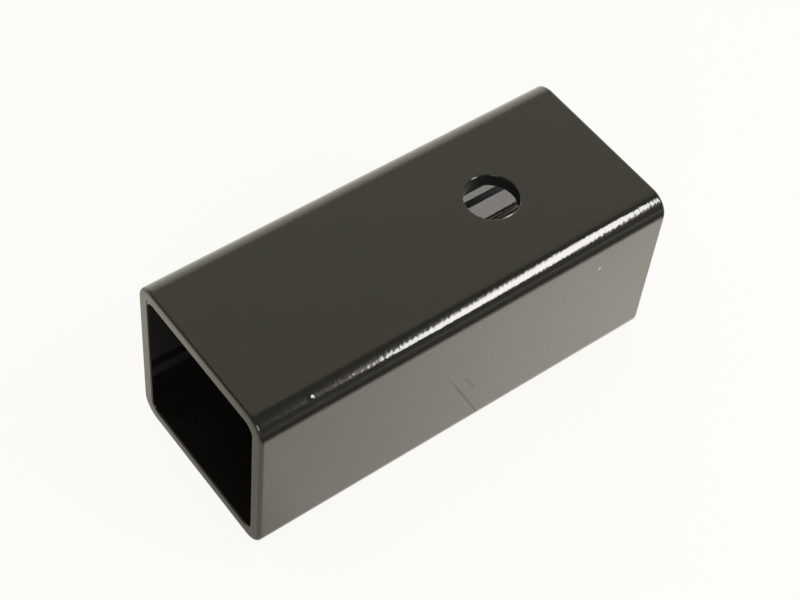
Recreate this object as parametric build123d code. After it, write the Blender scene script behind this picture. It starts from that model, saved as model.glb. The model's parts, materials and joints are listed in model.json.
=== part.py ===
from build123d import *
import os

# A hitch receiver tube: one length of square steel tube, open at both ends, with a cross-pin
# hole through two opposite walls near one end.
# X runs along the tube from the plain end to the pin end, Z is up along the pin, and the
# origin is at the middle of the underside.

# Driving dimensions, in millimetres.
outside_width = 63.5  # over the flats, a 2-1/2 in section
wall_thickness = 4.76  # 3/16 in
outside_corner_radius = 7.1  # the cold bend, measured outside
inside_corner_radius = 3.6  # measured inside; the corners are a little thicker than the wall
tube_length = 150.0  # between the two saw cuts
hitch_pin_diameter = 15.9  # the 5/8 in cross pin that locks a shank in the tube
pin_clearance = 1.6  # play of the pin in its hole, on the diameter
pin_hole_setback = 44.5  # from the pin end to the middle of the hole
outer_end_rounding = 0.8  # saw cuts, outer edge
inner_end_rounding = 0.5  # saw cuts, inner edge
pin_hole_rounding = 0.2  # rim of the pin hole, on the two outer faces
seam_width = 4.5  # the lengthwise weld, where its bead stands on the inside of one side wall
seam_height = 0.3  # what is left of that bead after trimming
seam_drop = 9.4  # from mid height down to the middle of the bead

# Sizes that follow from them.
opening_width = outside_width - 2 * wall_thickness
pin_hole_radius = (hitch_pin_diameter + pin_clearance) / 2
plain_end_x = -tube_length / 2
pin_end_x = tube_length / 2
pin_hole_x = pin_end_x - pin_hole_setback
mid_height = outside_width / 2
inner_wall_y = opening_width / 2
seam_z = mid_height - seam_drop


def receiver_tube():
    """The rolled section at its length, with its ends deburred and its pin hole drilled."""
    with BuildPart() as tube:
        # The section is a rounded square with an even wall, its lowest flat at height zero.
        with BuildSketch(Plane.YZ.offset(plain_end_x)):
            with Locations((0, mid_height)):
                RectangleRounded(outside_width, outside_width, outside_corner_radius)
                RectangleRounded(opening_width, opening_width, inside_corner_radius, mode=Mode.SUBTRACT)
        extrude(amount=tube_length)

        # Both saw cuts lose their sharp edges, outside first and then inside.
        cut_ends = tube.faces().filter_by(Plane.YZ)
        fillet([edge for end in cut_ends for edge in end.outer_wire().edges()], outer_end_rounding)
        cut_ends = tube.faces().filter_by(Plane.YZ)
        fillet([edge for end in cut_ends for edge in end.inner_wires()[0].edges()], inner_end_rounding)

        # The trimmed weld bead runs along the inside of the +Y wall, between the two softened edges.
        with BuildSketch(Plane.YZ.offset(plain_end_x + inner_end_rounding)):
            with BuildLine():
                toes = (inner_wall_y, seam_z - seam_width / 2), (inner_wall_y, seam_z + seam_width / 2)
                roots = [(inner_wall_y + wall_thickness / 2, z) for y, z in toes]
                ThreePointArc(toes[0], (inner_wall_y - seam_height, seam_z), toes[1])
                Polyline(toes[1], roots[1], roots[0], toes[0])
            make_face()
        extrude(amount=tube_length - 2 * inner_end_rounding)

        # One drill pass goes through the top wall and the bottom wall, square to both.
        with Locations((pin_hole_x, 0, mid_height)):
            Cylinder(pin_hole_radius, outside_width, mode=Mode.SUBTRACT)
        rims = tube.edges().filter_by(GeomType.CIRCLE).filter_by(Plane.XY).group_by(Axis.Z)
        fillet(rims[0] + rims[-1], pin_hole_rounding)
    return tube.part


os.makedirs("parts", exist_ok=True)
export_step(receiver_tube(), "parts/receiver_tube.step")
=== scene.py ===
"""Looks of a hitch receiver tube: sprayed gloss black enamel on one length of square steel tube.

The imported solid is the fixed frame. The tube is modelled again over it with fine bends, softened saw
cuts and rounded pin-hole rims, painted, and laid on a white table between two oval softboxes.
"""

import json
import logging
import math
from dataclasses import dataclass
from enum import Enum

import bmesh
import bpy
from mathutils import Matrix, Quaternion, Vector

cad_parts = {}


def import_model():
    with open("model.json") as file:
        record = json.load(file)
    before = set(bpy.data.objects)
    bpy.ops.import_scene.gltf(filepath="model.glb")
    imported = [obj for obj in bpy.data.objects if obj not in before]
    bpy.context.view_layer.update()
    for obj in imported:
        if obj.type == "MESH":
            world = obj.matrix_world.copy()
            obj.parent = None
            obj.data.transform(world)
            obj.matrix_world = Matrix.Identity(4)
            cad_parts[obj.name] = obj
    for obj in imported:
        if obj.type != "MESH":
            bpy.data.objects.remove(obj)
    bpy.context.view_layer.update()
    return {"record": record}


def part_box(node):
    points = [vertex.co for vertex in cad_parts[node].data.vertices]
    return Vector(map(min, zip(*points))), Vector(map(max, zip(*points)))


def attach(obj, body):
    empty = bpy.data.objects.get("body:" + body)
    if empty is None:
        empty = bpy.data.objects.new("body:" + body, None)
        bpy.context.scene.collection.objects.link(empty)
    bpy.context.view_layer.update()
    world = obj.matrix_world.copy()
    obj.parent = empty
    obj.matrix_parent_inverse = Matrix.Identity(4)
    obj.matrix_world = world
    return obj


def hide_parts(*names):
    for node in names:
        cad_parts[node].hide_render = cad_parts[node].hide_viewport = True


LOG = logging.getLogger("receiver_tube")
MM = 0.001
TUBE_NODE = "receiver_tube"
TUBE_BODY = "root"
PIN_MOUNT = "pin_hole"
X_AXIS = Vector((1, 0, 0))
Y_AXIS = Vector((0, 1, 0))
Z_AXIS = Vector((0, 0, 1))
# Points closer than this are in the same place.
NEAR = 0.01 * MM
# A face is level where the Z of its normal is larger than this.
LEVEL_ENOUGH = 0.9
# An edge is sharp where the cosine between its two faces is smaller than this.
SHARP_COSINE = 0.5


def linear(hex_colour: str) -> tuple[float, float, float, float]:
    """Turn an sRGB hex colour into linear light.

    Args:
        hex_colour: The colour as "#rrggbb".

    Returns:
        Red, green and blue in linear light, and an alpha of 1.
    """
    shares = [int(hex_colour[i:i + 2], 16) / 255 for i in (1, 3, 5)]
    return (*(s / 12.92 if s <= 0.04045 else ((s + 0.055) / 1.055) ** 2.4 for s in shares), 1.0)


def add_node(tree: bpy.types.NodeTree, kind: str, inputs: dict | None = None, **settings) -> bpy.types.Node:
    """Add a node with its settings, its input values and its links.

    Args:
        tree: The node tree that the node joins.
        kind: The node's type name.
        inputs: Input names or numbers, each with a value to set or an output socket to link.
        **settings: Options of the node itself.

    Returns:
        The new node.
    """
    node = tree.nodes.new(kind)
    for name, value in settings.items():
        setattr(node, name, value)
    for name, value in (inputs or {}).items():
        if isinstance(value, bpy.types.NodeSocket):
            tree.links.new(value, node.inputs[name])
        else:
            node.inputs[name].default_value = value
    return node


def new_object(name: str, shape: bmesh.types.BMesh) -> bpy.types.Object:
    """Put a finished shape into the scene as an object at the origin.

    Args:
        name: The object's name.
        shape: The shape, which is used up.

    Returns:
        The new object, shaded smooth.
    """
    mesh = bpy.data.meshes.new(name)
    shape.to_mesh(mesh)
    shape.free()
    mesh.shade_smooth()
    made = bpy.data.objects.new(name, mesh)
    bpy.context.scene.collection.objects.link(made)
    return made


class Face(Enum):
    """The faces that the pin hole opens in, from the top of the tube down."""

    TOP_OUTSIDE = 0
    TOP_INSIDE = 1
    BOTTOM_INSIDE = 2
    BOTTOM_OUTSIDE = 3


class Corner(Enum):
    """The kinds of sharp edge that are rounded, in the order of rounding."""

    OUTER_END = "outer end"
    INNER_END = "inner end"
    OUTER_RIM = "outer rim"
    INNER_RIM = "inner rim"


class Axis(Enum):
    """The axes that a card's edge can fade along."""

    X = "X"
    Y = "Y"


@dataclass(frozen=True)
class Spot:
    """A small oval mark on the paint: its middle, its half sizes, and how far it is turned about Y."""

    middle: tuple[float, float, float]
    half_size: tuple[float, float, float]
    turn_degrees: float = 0.0

    def share(self, tree: bpy.types.NodeTree, place: bpy.types.NodeSocket) -> bpy.types.NodeSocket:
        """Work out how much of the mark there is at each point.

        Args:
            tree: The material's node tree.
            place: The piece's own coordinates.

        Returns:
            A share that is 1 in the middle of the mark and falls to 0 at its edge.
        """
        own = add_node(
            tree, "ShaderNodeMapping",
            {
                "Vector": place, "Location": self.middle, "Scale": self.half_size,
                "Rotation": (0.0, math.radians(self.turn_degrees), 0.0),
            },
            vector_type="TEXTURE",
        )
        out = add_node(tree, "ShaderNodeVectorMath", {0: own.outputs[0]}, operation="LENGTH")
        return add_node(
            tree, "ShaderNodeMapRange", {"Value": out.outputs["Value"], "To Min": 1.0, "To Max": 0.0},
            interpolation_type="SMOOTHSTEP",
        ).outputs[0]


@dataclass(frozen=True)
class Scratch:
    """A curved scratch on the -Y wall that deepens from its top to its middle.

    It is given by its two ends, as X and Z, and by how far its middle bows to the right.
    """

    top: tuple[float, float]
    foot: tuple[float, float]
    bow: float
    width: float
    depth: float

    def circle(self) -> tuple[Vector, float]:
        """Work out the circle that the scratch follows.

        Returns:
            The circle's centre on the wall, with its Y at zero, and its radius.
        """
        top = Vector((self.top[0], 0, self.top[1]))
        foot = Vector((self.foot[0], 0, self.foot[1]))
        chord = foot - top
        radius = ((chord.length / 2) ** 2 + self.bow ** 2) / (2 * abs(self.bow))
        rightward = Vector((-chord.z, 0, chord.x)).normalized() * math.copysign(1, self.bow)
        return (top + foot) / 2 + rightward * (abs(self.bow) - radius), radius

    def share(
        self, tree: bpy.types.NodeTree, flat: bpy.types.NodeSocket, stray: bpy.types.NodeSocket,
        height: bpy.types.NodeSocket,
    ) -> bpy.types.NodeSocket:
        """Work out how much of the scratch there is at each point.

        Args:
            tree: The material's node tree.
            flat: The piece's own coordinates, with Y at zero.
            stray: How far the scratch strays from its circle.
            height: Height on the wall, with the same stray.

        Returns:
            A share that is the scratch's depth along its line and falls to 0 at its edges.
        """
        centre, radius = self.circle()
        out = add_node(tree, "ShaderNodeVectorMath", {0: flat, 1: centre}, operation="DISTANCE")
        off = add_node(tree, "ShaderNodeMath", {0: out.outputs["Value"], 1: stray}, operation="ADD")
        off = add_node(tree, "ShaderNodeMath", {0: off.outputs[0], 1: radius}, operation="SUBTRACT")
        off = add_node(tree, "ShaderNodeMath", {0: off.outputs[0]}, operation="ABSOLUTE")
        mark = add_node(
            tree, "ShaderNodeMapRange",
            {"Value": off.outputs[0], "From Max": self.width, "To Min": self.depth, "To Max": 0.0},
            interpolation_type="SMOOTHSTEP",
        )
        below_top = add_node(
            tree, "ShaderNodeMapRange",
            {"Value": height, "From Min": self.top[1], "From Max": (self.top[1] + self.foot[1]) / 2},
            interpolation_type="SMOOTHSTEP",
        )
        above_foot = add_node(tree, "ShaderNodeMath", {0: height, 1: self.foot[1]}, operation="GREATER_THAN")
        for part in (below_top, above_foot):
            mark = add_node(
                tree, "ShaderNodeMath", {0: mark.outputs[0], 1: part.outputs[0]}, operation="MULTIPLY",
            )
        return mark.outputs[0]


@dataclass(frozen=True)
class GlossBlackEnamel:
    """Gloss black enamel, sprayed on steel: nearly black itself, so the eye sees what it mirrors.

    The film levels into a fine orange peel that breaks up the edge of every bright reflection. It lies
    dull and dark over the trimmed weld and above it, in the bore, and where the side wall was scuffed.
    One small spot on that wall is pale in the base colour, and one nib on the bend above it catches the
    lamp.
    """

    name: str = "gloss_black_enamel_sprayed"
    deep_colour: str = "#151411"
    thin_colour: str = "#1d1b17"
    glare_tint: str = "#fffcf6"
    pale_spot_colour: str = "#efe6df"
    roughness: float = 0.16
    scuffed_roughness: float = 0.62
    ior: float = 1.6
    coat_roughness: float = 0.05
    peel_size: float = 1.3 * MM
    peel_height: float = 0.03 * MM
    mottle_size: float = 9.0 * MM
    waver_size: float = 5.0 * MM
    waver_reach: float = 0.5 * MM
    dry_height: float = 28.4 * MM
    bore_depth: float = 0.1 * MM
    scratches: tuple[Scratch, ...] = (
        Scratch((-10.5 * MM, 41.0 * MM), (7.1 * MM, 6.1 * MM), 0.3 * MM, 0.6 * MM, 0.5),
        Scratch((-3.0 * MM, 33.5 * MM), (4.3 * MM, 21.3 * MM), 0.45 * MM, 0.7 * MM, 0.32),
    )
    pale_spot: Spot = Spot((49.7 * MM, -31.75 * MM, 48.7 * MM), (1.3 * MM, 2.0 * MM, 0.55 * MM), -35.0)
    nib: Spot = Spot((-56.7 * MM, -28.98 * MM, 62.03 * MM), (1.2 * MM, 1.2 * MM, 1.2 * MM))
    nib_height: float = 0.11 * MM

    def material(self, tube: "ReceiverTube") -> bpy.types.Material:
        """Build the enamel as a procedural material on the piece's own coordinates.

        Args:
            tube: The tube, for the place of its walls and its weld.

        Returns:
            The new material.
        """
        made = bpy.data.materials.new(self.name)
        made.use_nodes = True
        tree = made.node_tree
        tree.nodes.clear()
        place = add_node(tree, "ShaderNodeTexCoord").outputs["Object"]
        mottle = add_node(
            tree, "ShaderNodeTexNoise",
            {"Vector": place, "Scale": 1 / self.mottle_size, "Detail": 4.0, "Roughness": 0.6},
        )
        body = add_node(
            tree, "ShaderNodeMix",
            {"Factor": mottle.outputs["Fac"], 6: linear(self.deep_colour), 7: linear(self.thin_colour)},
            data_type="RGBA",
        )
        # A small pale spot in the base colour on the -Y wall.
        body = add_node(
            tree, "ShaderNodeMix",
            {"Factor": self.pale_spot.share(tree, place), 6: body.outputs[2], 7: linear(self.pale_spot_colour)},
            data_type="RGBA",
        )
        peel = add_node(
            tree, "ShaderNodeTexNoise",
            {"Vector": place, "Scale": 1 / self.peel_size, "Detail": 1.0, "Roughness": 0.5},
        )
        relief = add_node(
            tree, "ShaderNodeMath",
            {0: self.nib.share(tree, place), 1: self.nib_height / self.peel_height, 2: peel.outputs["Fac"]},
            operation="MULTIPLY_ADD",
        )
        bump = add_node(
            tree, "ShaderNodeBump",
            {"Height": relief.outputs[0], "Strength": 1.0, "Distance": self.peel_height},
        )
        scuffed = self._scuffs(tree, place, tube)
        shine = add_node(tree, "ShaderNodeMath", {0: 1.0, 1: scuffed}, operation="SUBTRACT")
        rough = add_node(
            tree, "ShaderNodeMapRange",
            {"Value": scuffed, "To Min": self.roughness, "To Max": self.scuffed_roughness},
        )
        film = add_node(
            tree, "ShaderNodeBsdfPrincipled",
            {
                "Base Color": body.outputs[2],
                "Roughness": rough.outputs[0],
                "IOR": self.ior,
                "Specular Tint": linear(self.glare_tint),
                "Coat Weight": shine.outputs[0],
                "Coat Roughness": self.coat_roughness,
                "Coat IOR": self.ior,
                "Coat Tint": linear(self.glare_tint),
                "Normal": bump.outputs["Normal"],
                "Coat Normal": bump.outputs["Normal"],
            },
        )
        add_node(tree, "ShaderNodeOutputMaterial", {"Surface": film.outputs["BSDF"]})
        return made

    def _scuffs(
        self, tree: bpy.types.NodeTree, place: bpy.types.NodeSocket, tube: "ReceiverTube",
    ) -> bpy.types.NodeSocket:
        """Join the dull places and the scratches into one share, 0 where the film is whole.

        Args:
            tree: The material's node tree.
            place: The piece's own coordinates.
            tube: The tube, for the place of its walls and its weld.

        Returns:
            The share of the surface that is dull.
        """
        waver = add_node(
            tree, "ShaderNodeTexNoise",
            {"Vector": place, "Scale": 1 / self.waver_size, "Detail": 3.0, "Roughness": 0.6},
        )
        stray = add_node(
            tree, "ShaderNodeMapRange",
            {"Value": waver.outputs["Fac"], "To Min": -self.waver_reach / 2, "To Max": self.waver_reach / 2},
        ).outputs[0]
        axes = add_node(tree, "ShaderNodeSeparateXYZ", {"Vector": place})
        height = add_node(
            tree, "ShaderNodeMath", {0: axes.outputs["Z"], 1: stray}, operation="ADD",
        ).outputs[0]
        on_front = add_node(
            tree, "ShaderNodeMath", {0: axes.outputs["Y"], 1: tube.low.y, 2: tube.wall / 4},
            operation="COMPARE",
        )
        flat = add_node(tree, "ShaderNodeVectorMath", {0: place, 1: (1.0, 0.0, 1.0)}, operation="MULTIPLY")
        inside = self._dull_inside(tree, axes.outputs["Y"], height, tube)
        bore = self._dull_bore(tree, place, tube)
        share = add_node(tree, "ShaderNodeMath", {0: inside, 1: bore}, operation="MAXIMUM").outputs[0]
        for scratch in self.scratches:
            mark = scratch.share(tree, flat.outputs[0], stray, height)
            mark = add_node(tree, "ShaderNodeMath", {0: mark, 1: on_front.outputs[0]}, operation="MULTIPLY")
            share = add_node(
                tree, "ShaderNodeMath", {0: share, 1: mark.outputs[0]}, operation="MAXIMUM",
            ).outputs[0]
        return share

    def _dull_inside(
        self, tree: bpy.types.NodeTree, across: bpy.types.NodeSocket, height: bpy.types.NodeSocket,
        tube: "ReceiverTube",
    ) -> bpy.types.NodeSocket:
        """Find the dull paint on the inner face of the welded wall: on the weld, and high above it.

        Args:
            tree: The material's node tree.
            across: The Y of each point.
            height: The height of each point, with its stray.
            tube: The tube, for the place of its weld and its roof.

        Returns:
            A share that is 1 where the paint is dull.
        """
        weld_wall, weld_height = tube.weld_line()
        roof = tube.high.z - tube.wall
        on_weld_wall = add_node(
            tree, "ShaderNodeMath", {0: across, 1: weld_wall - tube.seam_height / 2, 2: tube.seam_height},
            operation="COMPARE",
        )
        on_weld = add_node(
            tree, "ShaderNodeMath", {0: height, 1: weld_height, 2: tube.seam_width / 2}, operation="COMPARE",
        )
        dry = add_node(
            tree, "ShaderNodeMath",
            {0: height, 1: (roof + self.dry_height) / 2, 2: (roof - self.dry_height) / 2},
            operation="COMPARE",
        )
        dull = add_node(
            tree, "ShaderNodeMath", {0: on_weld.outputs[0], 1: dry.outputs[0]}, operation="MAXIMUM",
        )
        return add_node(
            tree, "ShaderNodeMath", {0: on_weld_wall.outputs[0], 1: dull.outputs[0]}, operation="MULTIPLY",
        ).outputs[0]

    def _dull_bore(
        self, tree: bpy.types.NodeTree, place: bpy.types.NodeSocket, tube: "ReceiverTube",
    ) -> bpy.types.NodeSocket:
        """Find the dull paint in the bore of the pin hole.

        Args:
            tree: The material's node tree.
            place: The piece's own coordinates.
            tube: The tube, for the place and size of its pin hole.

        Returns:
            A share that is 1 on the bore.
        """
        level = add_node(tree, "ShaderNodeVectorMath", {0: place, 1: (1.0, 1.0, 0.0)}, operation="MULTIPLY")
        pin_axis = Vector((tube.pin_place.x, tube.pin_place.y, 0))
        from_axis = add_node(
            tree, "ShaderNodeVectorMath", {0: level.outputs[0], 1: pin_axis}, operation="DISTANCE",
        )
        return add_node(
            tree, "ShaderNodeMath", {0: from_axis.outputs["Value"], 1: tube.pin_radius, 2: self.bore_depth},
            operation="COMPARE",
        ).outputs[0]


@dataclass
class ReceiverTube:
    """One length of cold-formed square tube with a cross-pin hole through its top and bottom walls."""

    low: Vector
    high: Vector
    pin_place: Vector
    pin_radius: float
    wall: float = 4.76 * MM
    outside_bend: float = 7.1 * MM
    inside_bend: float = 3.6 * MM
    seam_width: float = 4.5 * MM
    seam_height: float = 0.3 * MM
    seam_drop: float = 9.4 * MM
    seam_segments: int = 8
    outer_end_rounding: float = 1.2 * MM
    inner_end_rounding: float = 0.5 * MM
    outer_rim_rounding: float = 0.5 * MM
    inner_rim_rounding: float = 0.15 * MM
    bend_segments: int = 20
    edge_segments: int = 5
    hole_quarter_segments: int = 24
    hole_margin: float = 4.5 * MM

    def weld_line(self) -> tuple[float, float]:
        """Give the inner face that the weld runs along, as its Y, and the height of the weld's middle."""
        return self.high.y - self.wall, (self.low.z + self.high.z) / 2 - self.seam_drop

    def build(self, name: str) -> bpy.types.Object:
        """Model the tube.

        Args:
            name: The piece's name.

        Returns:
            The tube as one closed mesh.
        """
        shape = bmesh.new()
        self._roll(shape)
        shape.normal_update()
        self._weld(shape)
        self._drill(shape)
        bmesh.ops.recalc_face_normals(shape, faces=shape.faces)
        self._soften(shape)
        piece = new_object(name, shape)
        piece.modifiers.new("even_flats", "WEIGHTED_NORMAL")
        return piece

    def _outline(self, shape: bmesh.types.BMesh, width: float, bend: float) -> list[bmesh.types.BMEdge]:
        """Draw one rounded square across the tube at its plain end.

        Args:
            shape: The mesh to draw in.
            width: Size over the flats.
            bend: Radius of the four corners.

        Returns:
            The edges of the closed outline.
        """
        before = set(shape.edges)
        middle = Vector((self.low.x, 0, (self.low.z + self.high.z) / 2))
        upright = Matrix.Rotation(math.radians(90), 4, "Y") @ Matrix.Rotation(math.radians(45), 4, "Z")
        square = bmesh.ops.create_circle(
            shape, segments=4, radius=width / math.sqrt(2), matrix=Matrix.Translation(middle) @ upright,
        )
        bmesh.ops.bevel(
            shape, geom=square["verts"], offset=bend, offset_type="OFFSET", segments=self.bend_segments,
            profile=0.5, affect="VERTICES", material=-1,
        )
        return [edge for edge in shape.edges if edge not in before]

    def _roll(self, shape: bmesh.types.BMesh) -> None:
        """Bridge the two outlines into the section and draw it out to the tube's length.

        Args:
            shape: The mesh to work on.
        """
        width = self.high.z - self.low.z
        outside = self._outline(shape, width, self.outside_bend)
        inside = self._outline(shape, width - 2 * self.wall, self.inside_bend)
        section = bmesh.ops.bridge_loops(shape, edges=outside + inside)["faces"]
        drawn = bmesh.ops.extrude_face_region(shape, geom=section)["geom"]
        bmesh.ops.translate(
            shape, vec=X_AXIS * (self.high.x - self.low.x),
            verts=[part for part in drawn if isinstance(part, bmesh.types.BMVert)],
        )

    def _weld(self, shape: bmesh.types.BMesh) -> None:
        """Raise the trimmed bead of the lengthwise weld on the inside of the +Y wall.

        Args:
            shape: The mesh to work on.
        """
        wall_y, middle = self.weld_line()
        half = self.seam_width / 2
        radius = (half ** 2 + self.seam_height ** 2) / (2 * self.seam_height)
        wall = [face for face in shape.faces if abs(face.calc_center_median().y - wall_y) < NEAR]
        for step in range(self.seam_segments + 1):
            height = middle - half + self.seam_width * step / self.seam_segments
            bmesh.ops.bisect_plane(
                shape, geom=wall + list({part for face in wall for part in (*face.edges, *face.verts)}),
                plane_co=Z_AXIS * height, plane_no=Z_AXIS,
            )
            wall = [face for face in shape.faces if abs(face.calc_center_median().y - wall_y) < NEAR]
        for vert in shape.verts:
            offset = abs(vert.co.z - middle)
            if abs(vert.co.y - wall_y) < NEAR and offset < half - NEAR:
                vert.co.y -= math.sqrt(radius ** 2 - offset ** 2) - (radius - self.seam_height)

    def _drill(self, shape: bmesh.types.BMesh) -> None:
        """Open the pin hole.

        A square patch of each wall face gives way to a circle, and a bore joins each pair of circles.

        Args:
            shape: The mesh to work on.
        """
        reach = self.pin_radius + self.hole_margin
        for across in (X_AXIS, Y_AXIS):
            for side in (-reach, reach):
                bmesh.ops.bisect_plane(
                    shape, geom=shape.verts[:] + shape.edges[:] + shape.faces[:],
                    plane_co=self.pin_place + across * side, plane_no=across,
                )
        patches = [face for face in shape.faces if self._on_patch(face, reach)]
        patches.sort(key=lambda face: -face.calc_center_median().z)
        outlines = [list(face.edges) for face in patches]
        heights = [face.calc_center_median().z for face in patches]
        bmesh.ops.delete(shape, geom=patches, context="FACES_ONLY")
        for square in outlines:
            bmesh.ops.subdivide_edges(shape, edges=square, cuts=self.hole_quarter_segments - 1)
        rims = {}
        for face in Face:
            height = heights[face.value]
            square = [
                edge for edge in shape.edges
                if edge.is_boundary and abs(edge.verts[0].co.z - height) < NEAR
            ]
            rims[face] = self._circle(shape, height + reach)
            bmesh.ops.bridge_loops(shape, edges=square + rims[face])
            lifted = {vert for edge in rims[face] for vert in edge.verts}
            bmesh.ops.translate(shape, vec=-Z_AXIS * reach, verts=list(lifted))
        bmesh.ops.bridge_loops(shape, edges=rims[Face.TOP_OUTSIDE] + rims[Face.TOP_INSIDE])
        bmesh.ops.bridge_loops(shape, edges=rims[Face.BOTTOM_OUTSIDE] + rims[Face.BOTTOM_INSIDE])

    def _on_patch(self, face: bmesh.types.BMFace, reach: float) -> bool:
        """Tell whether a level face lies within reach of the pin's axis."""
        offset = face.calc_center_median() - self.pin_place
        return abs(offset.x) < reach and abs(offset.y) < reach and abs(face.normal.z) > LEVEL_ENOUGH

    def _circle(self, shape: bmesh.types.BMesh, height: float) -> list[bmesh.types.BMEdge]:
        """Draw the pin hole's circle.

        Args:
            shape: The mesh to draw in.
            height: Height of the circle.

        Returns:
            The edges of the circle.
        """
        before = set(shape.edges)
        middle = Vector((self.pin_place.x, self.pin_place.y, height))
        bmesh.ops.create_circle(
            shape, segments=4 * self.hole_quarter_segments, radius=self.pin_radius,
            matrix=Matrix.Translation(middle),
        )
        return [edge for edge in shape.edges if edge not in before]

    def _soften(self, shape: bmesh.types.BMesh) -> None:
        """Round the saw cuts and the rims of the pin hole.

        Args:
            shape: The mesh to work on.
        """
        middle = (self.low.z + self.high.z) / 2
        roundings = {
            Corner.OUTER_END: self.outer_end_rounding, Corner.INNER_END: self.inner_end_rounding,
            Corner.OUTER_RIM: self.outer_rim_rounding, Corner.INNER_RIM: self.inner_rim_rounding,
        }
        edges = {corner: [] for corner in Corner}
        for edge in shape.edges:
            normals = [face.normal for face in edge.link_faces]
            if len(normals) != 2 or normals[0].dot(normals[1]) > SHARP_COSINE:
                continue
            place = (edge.verts[0].co + edge.verts[1].co) / 2
            from_axis = Vector((0, place.y, place.z - middle))
            if min(abs(place.x - self.low.x), abs(place.x - self.high.x)) < NEAR:
                wall_normal = min(normals, key=lambda n: abs(n.x))
                corner = Corner.OUTER_END if wall_normal.dot(from_axis) > 0 else Corner.INNER_END
            else:
                outside = abs(abs(place.z - middle) - (self.high.z - middle)) < NEAR
                corner = Corner.OUTER_RIM if outside else Corner.INNER_RIM
            edges[corner].append(edge)
        for corner in Corner:
            bmesh.ops.bevel(
                shape, geom=edges[corner], offset=roundings[corner], offset_type="OFFSET",
                segments=self.edge_segments, profile=0.5, affect="EDGES", material=-1,
            )

    def dress(self, piece: bpy.types.Object, paint: GlossBlackEnamel) -> None:
        """Paint the tube and put it in place of the plain solid.

        Args:
            piece: The tube's object.
            paint: The finish that it gets.
        """
        piece.data.materials.append(paint.material(self))
        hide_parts(TUBE_NODE)
        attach(piece, TUBE_BODY)


@dataclass(frozen=True)
class WhiteTable:
    """Matt white laminate that runs on past the picture on every side."""

    name: str = "matt_white_laminate"
    colour: str = "#f2f1ee"
    glow_colour: str = "#fffefb"
    half_width: float = 12.0
    drop: float = 0.05 * MM
    glow_share: float = 0.92

    def build(self, level: float) -> bpy.types.Object:
        """Lay the table top just under the tube.

        Args:
            level: Height of the tube's underside.

        Returns:
            The table top.
        """
        shape = bmesh.new()
        bmesh.ops.create_grid(
            shape, x_segments=1, y_segments=1, size=self.half_width,
            matrix=Matrix.Translation((0, 0, level - self.drop)),
        )
        top = new_object("table_top", shape)
        top.data.materials.append(self._material())
        return top

    def _material(self) -> bpy.types.Material:
        """Make the laminate: white to the eye and in reflections, and it still shows the tube's shadow.

        Returns:
            The new material.
        """
        made = bpy.data.materials.new(self.name)
        made.use_nodes = True
        tree = made.node_tree
        tree.nodes.clear()
        path = add_node(tree, "ShaderNodeLightPath")
        seen = add_node(
            tree, "ShaderNodeMath", {0: path.outputs["Is Camera Ray"], 1: path.outputs["Is Glossy Ray"]},
            operation="ADD",
        )
        seen = add_node(
            tree, "ShaderNodeMath", {0: seen.outputs[0], 1: path.outputs["Is Transmission Ray"]},
            operation="ADD", use_clamp=True,
        )
        share = add_node(
            tree, "ShaderNodeMath", {0: seen.outputs[0], 1: self.glow_share}, operation="MULTIPLY",
        )
        matt = add_node(tree, "ShaderNodeBsdfDiffuse", {"Color": linear(self.colour)})
        glow = add_node(tree, "ShaderNodeEmission", {"Color": linear(self.glow_colour), "Strength": 1.0})
        both = add_node(
            tree, "ShaderNodeMixShader",
            {0: share.outputs[0], 1: matt.outputs["BSDF"], 2: glow.outputs["Emission"]},
        )
        add_node(tree, "ShaderNodeOutputMaterial", {"Surface": both.outputs["Shader"]})
        return made


@dataclass(frozen=True)
class OvalLamp:
    """An oval softbox whose face may fade towards its upper left edge."""

    name: str
    place: Vector
    facing: Vector
    width: float
    height: float
    brightness: float
    roll_degrees: float = 0.0
    edge_share: float = 1.0
    slant: float = 1.4
    even_to: float = 0.16
    dim_from: float = 0.6

    def hang(self) -> bpy.types.Object:
        """Hang the lamp with the power that gives its face its brightness.

        Returns:
            The lamp.
        """
        lamp = bpy.data.lights.new(self.name, "AREA")
        lamp.shape = "ELLIPSE"
        lamp.size = self.width
        lamp.size_y = self.height
        face_area = math.pi * self.width * self.height / 4
        lamp.energy = self.brightness * math.pi * face_area
        self._shade(lamp)
        hung = bpy.data.objects.new(self.name, lamp)
        hung.location = self.place
        hung.rotation_mode = "QUATERNION"
        square_on = self.facing.to_track_quat("-Z", "Y")
        hung.rotation_quaternion = square_on @ Quaternion((0, 0, 1), math.radians(self.roll_degrees))
        bpy.context.scene.collection.objects.link(hung)
        return hung

    def _shade(self, lamp: bpy.types.AreaLight) -> None:
        """Let the lamp's face fade from lower right to upper left.

        Args:
            lamp: The lamp to shade.
        """
        lamp.use_nodes = True
        tree = lamp.node_tree
        tree.nodes.clear()
        face = add_node(tree, "ShaderNodeNewGeometry").outputs["Parametric"]
        across = add_node(
            tree, "ShaderNodeVectorMath", {0: face, 1: (-self.slant, 1.0, 0.0)}, operation="DOT_PRODUCT",
        )
        strength = add_node(
            tree, "ShaderNodeMapRange",
            {
                "Value": across.outputs["Value"], "From Min": self.dim_from, "From Max": self.even_to,
                "To Min": self.edge_share,
            },
            interpolation_type="SMOOTHSTEP",
        )
        light = add_node(tree, "ShaderNodeEmission", {"Strength": strength.outputs[0]})
        add_node(tree, "ShaderNodeOutputLight", {"Surface": light.outputs["Emission"]})


RIGHT_LAMP = OvalLamp(
    name="right_softbox",
    place=Vector((0.518, -0.629, 0.73)),
    facing=Vector((0.0, 0.669, -0.743)),
    width=0.276,
    height=0.70,
    brightness=9.0,
    roll_degrees=-16.7,
    edge_share=0.12,
)
LEFT_LAMP = OvalLamp(
    name="left_softbox",
    place=Vector((-0.70, -0.76, 0.60)),
    facing=Vector((0.57, 0.66, -0.49)),
    width=0.5,
    height=0.5,
    brightness=3.8,
)


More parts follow.
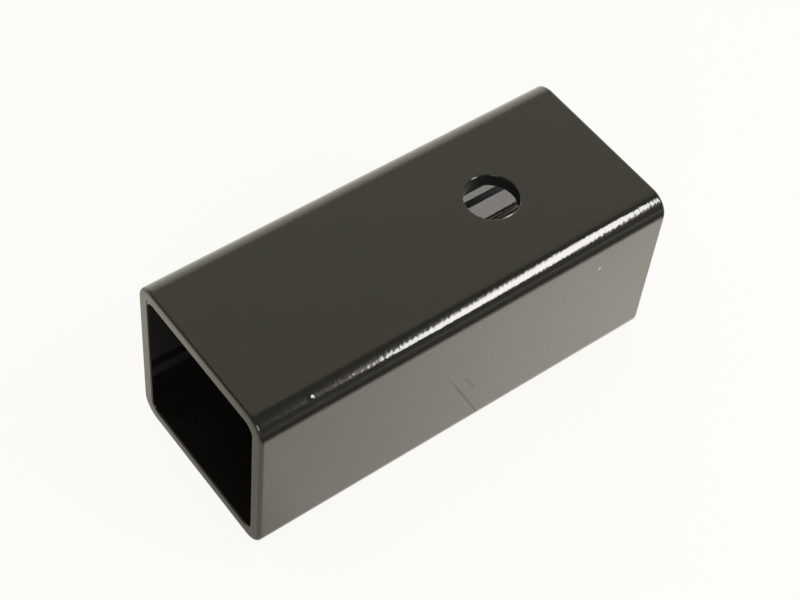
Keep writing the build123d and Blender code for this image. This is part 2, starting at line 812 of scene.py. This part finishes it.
@dataclass(frozen=True)
class OverheadSilk:
    """A wide silk overhead that evens out the table and the matt tones, and shows in no reflection."""

    name: str = "overhead_silk"
    height: float = 1.6
    width: float = 2.4
    brightness: float = 0.9

    def hang(self) -> bpy.types.Object:
        """Hang the silk level above the tube.

        Returns:
            The silk.
        """
        lamp = bpy.data.lights.new(self.name, "AREA")
        lamp.shape = "SQUARE"
        lamp.size = self.width
        lamp.energy = self.brightness * math.pi * self.width ** 2
        hung = bpy.data.objects.new(self.name, lamp)
        hung.location = Z_AXIS * self.height
        hung.visible_glossy = False
        bpy.context.scene.collection.objects.link(hung)
        return hung


@dataclass(frozen=True)
class StudioRoom:
    """The room's walls: white low down behind the tube, grey above, and dim overhead and in front."""

    name: str = "studio_room"
    colour: str = "#ffffec"
    bright_way: Vector = Vector((0.45, 0.89, 0.0))
    dim: float = 0.12
    bright: float = 1.0
    steps: tuple[tuple[float, float], ...] = (
        (0.15, 0.12), (0.31, 0.35), (0.6, 0.37), (0.7, 0.41), (0.88, 0.9),
    )
    horizon_glow: float = 0.07
    horizon_depth: float = 0.42

    def fill(self) -> None:
        """Make the room the scene's world."""
        room = bpy.data.worlds.new(self.name)
        bpy.context.scene.world = room
        room.use_nodes = True
        tree = room.node_tree
        tree.nodes.clear()
        way = add_node(tree, "ShaderNodeTexCoord").outputs["Generated"]
        back = add_node(tree, "ShaderNodeVectorMath", {0: way, 1: self.bright_way}, operation="DOT_PRODUCT")
        wall = add_node(tree, "ShaderNodeValToRGB", {"Fac": back.outputs["Value"]})
        stops = wall.color_ramp.elements
        stops[0].color = (self.dim, self.dim, self.dim, 1.0)
        stops[1].color = (self.bright, self.bright, self.bright, 1.0)
        for share, brightness in self.steps:
            stops.new(share).color = (brightness, brightness, brightness, 1.0)
        axes = add_node(tree, "ShaderNodeSeparateXYZ", {"Vector": way})
        height = add_node(tree, "ShaderNodeMath", {0: axes.outputs["Z"]}, operation="ABSOLUTE")
        horizon = add_node(
            tree, "ShaderNodeMapRange",
            {
                "Value": height.outputs[0], "From Max": self.horizon_depth,
                "To Min": self.horizon_glow, "To Max": 0.0,
            },
            interpolation_type="SMOOTHSTEP",
        )
        level = add_node(
            tree, "ShaderNodeMath", {0: wall.outputs["Color"], 1: horizon.outputs[0]}, operation="ADD",
        )
        light = add_node(
            tree, "ShaderNodeBackground", {"Color": linear(self.colour), "Strength": level.outputs[0]},
        )
        add_node(tree, "ShaderNodeOutputWorld", {"Surface": light.outputs["Background"]})


@dataclass(frozen=True)
class Fade:
    """One soft edge of a painted-shade card: where it starts and ends along an axis, and how far it gets."""

    axis: Axis
    clear_at: float
    full_at: float
    cover: float


@dataclass(frozen=True)
class ShadeInReflectionCard:
    """Painted shade in reflections: a dark sheet on the table beside the tube, seen by no ray but the
    paint's reflections, that darkens the table there as its falloff and the tube's shadow would.
    """

    name: str
    low: Vector
    high: Vector
    fades: tuple[Fade, ...]
    paling: Fade | None = None
    colour: str = "#000000"
    tint: str = "#ffffff"
    lift: float = 0.2 * MM

    def lay(self, level: float) -> bpy.types.Object:
        """Lay the card on the table.

        Args:
            level: Height of the table.

        Returns:
            The card.
        """
        shape = bmesh.new()
        middle = (self.low + self.high) / 2 + Z_AXIS * (level + self.lift)
        half = (self.high - self.low) / 2
        bmesh.ops.create_grid(
            shape, x_segments=1, y_segments=1, size=1.0,
            matrix=Matrix.Translation(middle) @ Matrix.Diagonal((half.x, half.y, 1.0, 1.0)),
        )
        card = new_object(self.name, shape)
        card.data.materials.append(self._material())
        # Painted shade: the sheet is seen only in reflections, not by the camera, by diffuse light or by
        # shadows.
        card.visible_camera = False
        card.visible_diffuse = False
        card.visible_shadow = False
        return card

    def _material(self) -> bpy.types.Material:
        """Make the painted shade: clear beside the tube, fading in to black, and paler again further out.

        Returns:
            The new material.
        """
        made = bpy.data.materials.new(f"painted_shade_in_reflection_{self.name}")
        made.use_nodes = True
        tree = made.node_tree
        tree.nodes.clear()
        place = add_node(tree, "ShaderNodeTexCoord").outputs["Object"]
        axes = add_node(tree, "ShaderNodeSeparateXYZ", {"Vector": place})
        grey = self._ramp(tree, axes, self.paling) if self.paling else linear(self.colour)
        black = add_node(tree, "ShaderNodeBsdfDiffuse", {"Color": grey}).outputs[0]
        seen = add_node(tree, "ShaderNodeBsdfTransparent", {"Color": linear(self.tint)}).outputs[0]
        for fade in self.fades:
            cover = self._ramp(tree, axes, fade)
            seen = add_node(tree, "ShaderNodeMixShader", {0: cover, 1: seen, 2: black}).outputs[0]
        add_node(tree, "ShaderNodeOutputMaterial", {"Surface": seen})
        return made

    def _ramp(self, tree: bpy.types.NodeTree, axes: bpy.types.Node, fade: Fade) -> bpy.types.NodeSocket:
        """Turn a fade into a share that grows along its axis.

        Args:
            tree: The material's node tree.
            axes: The node that splits the card's own coordinates.
            fade: The fade.

        Returns:
            The share, from 0 to the fade's cover.
        """
        return add_node(
            tree, "ShaderNodeMapRange",
            {
                "Value": axes.outputs[fade.axis.value], "From Min": fade.clear_at, "From Max": fade.full_at,
                "To Max": fade.cover,
            },
            interpolation_type="SMOOTHSTEP",
        ).outputs[0]


# Painted shade seen in reflections: the table goes dark in front of the tube and darker towards the plain
# end, where the tube's shadow falls.
FRONT_SHADE_CARD = ShadeInReflectionCard(
    name="front_shade_card",
    low=Vector((-0.9, -11.0, 0.0)),
    high=Vector((0.9, -0.032, 0.0)),
    fades=(
        Fade(Axis.Y, -56.0 * MM, -122.0 * MM, 0.88),
        Fade(Axis.X, 90.0 * MM, -70.0 * MM, 0.28),
        Fade(Axis.X, -50.0 * MM, -85.0 * MM, 0.38),
    ),
    paling=Fade(Axis.Y, -110.0 * MM, -330.0 * MM, 0.12),
    tint="#fffbf4",
)
# Painted shadow seen in reflections: the tube's shadow on the table beyond its plain end.
END_SHADE_CARD = ShadeInReflectionCard(
    name="end_shade_card",
    low=Vector((-0.9, -0.032, 0.0)),
    high=Vector((-0.0752, 0.4, 0.0)),
    fades=(
        Fade(Axis.X, -60.0 * MM, -75.0 * MM, 0.43),
        Fade(Axis.Y, 65.0 * MM, -10.0 * MM, 0.5),
    ),
    tint="#fffef0",
)


@dataclass(frozen=True)
class PhotoCamera:
    """The camera, above the plain end's near corner, as far off and as tilted as the picture shows."""

    eye: Vector = Vector((-236.36, -259.05, 483.36)) * MM
    aim: Vector = Vector((0.25, 2.13, 31.75)) * MM
    lens_mm: float = 83.17
    sensor_mm: float = 36.0
    roll_degrees: float = 6.81
    clip_end: float = 100.0

    def place(self) -> bpy.types.Object:
        """Put the camera in the scene.

        Returns:
            The camera.
        """
        camera = bpy.data.cameras.new("photo_camera")
        camera.sensor_fit = "HORIZONTAL"
        camera.sensor_width = self.sensor_mm
        camera.lens = self.lens_mm
        camera.clip_end = self.clip_end
        held = bpy.data.objects.new("photo_camera", camera)
        held.location = self.eye
        held.rotation_mode = "QUATERNION"
        level = (self.aim - self.eye).to_track_quat("-Z", "Y")
        held.rotation_quaternion = level @ Quaternion((0, 0, 1), math.radians(self.roll_degrees))
        bpy.context.scene.collection.objects.link(held)
        bpy.context.scene.camera = held
        return held


def main() -> None:
    """Build the tube, the studio and the camera, in that order."""
    logging.basicConfig(level=logging.INFO, format="%(name)s: %(message)s")
    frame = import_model()
    bpy.context.scene.view_settings.view_transform = "Standard"

    low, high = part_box(TUBE_NODE)
    pin = next(mount for mount in frame["record"]["mounts"] if mount["name"] == PIN_MOUNT)
    tube = ReceiverTube(low, high, Vector(pin["pos_m"]), pin["dims"]["r_mm"] * MM)
    piece = tube.build("painted_receiver_tube")
    tube.dress(piece, GlossBlackEnamel())
    LOG.info("%s has %d faces", piece.name, len(piece.data.polygons))

    table = WhiteTable().build(low.z)
    LOG.info("%s is laid", table.name)
    # Sheets of painted shade that only the paint's reflections see.
    for card in (FRONT_SHADE_CARD, END_SHADE_CARD):
        LOG.info("%s is laid", card.lay(low.z).name)
    for lamp in (RIGHT_LAMP, LEFT_LAMP, OverheadSilk()):
        LOG.info("%s is hung", lamp.hang().name)
    StudioRoom().fill()
    LOG.info("%s is filled", bpy.context.scene.world.name)
    camera = PhotoCamera().place()
    LOG.info("%s is placed", camera.name)


if __name__ == "__main__":
    main()
